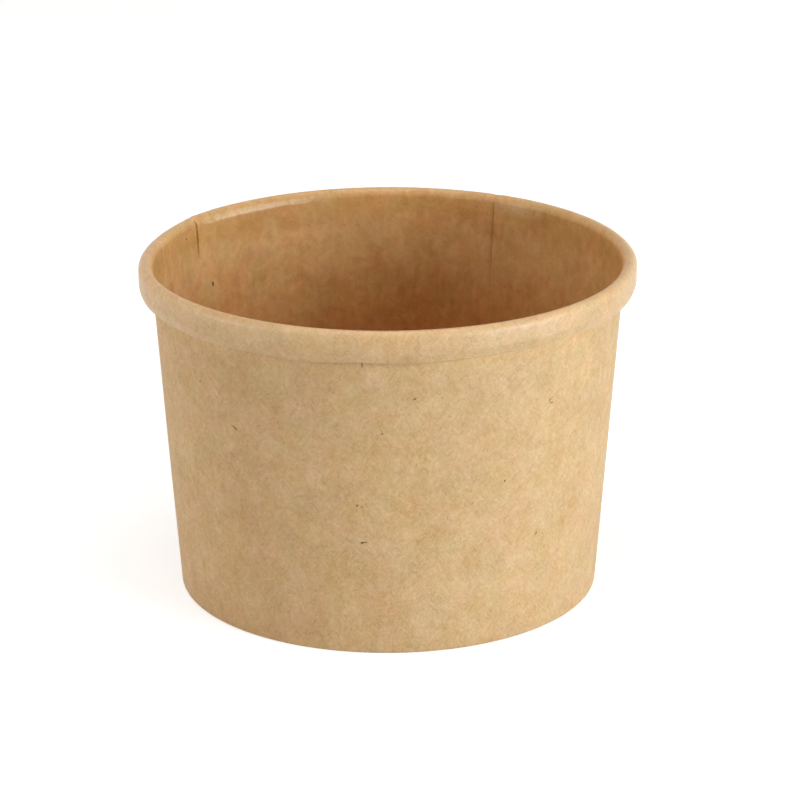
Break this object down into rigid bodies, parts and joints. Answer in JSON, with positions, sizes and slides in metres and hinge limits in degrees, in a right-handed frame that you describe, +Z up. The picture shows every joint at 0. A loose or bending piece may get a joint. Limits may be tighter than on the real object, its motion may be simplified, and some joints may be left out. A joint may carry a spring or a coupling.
{
  "type": "soup cup",
  "caption": "Squat round paper soup cup in brown kraft board, with a tall rolled rim that takes a lid, a lapped side seam and a floor set up inside its foot.",
  "frame": {"origin": "centre of the cup's foot, on the surface that it stands on", "axes": "+Z up along the cup's axis, through its mouth; +Y away from the viewer, with the side seam behind and to the right, 29 degrees from +Y towards +X"},
  "size_m": [0.09, 0.09, 0.0617],
  "materials": {
    "sidewall_board": "matte",
    "base_board": "matte"
  },
  "bodies": {
    "root": {"sidewall": "sidewall_board", "base_disc": "base_board"}
  },
  "joints": []
}
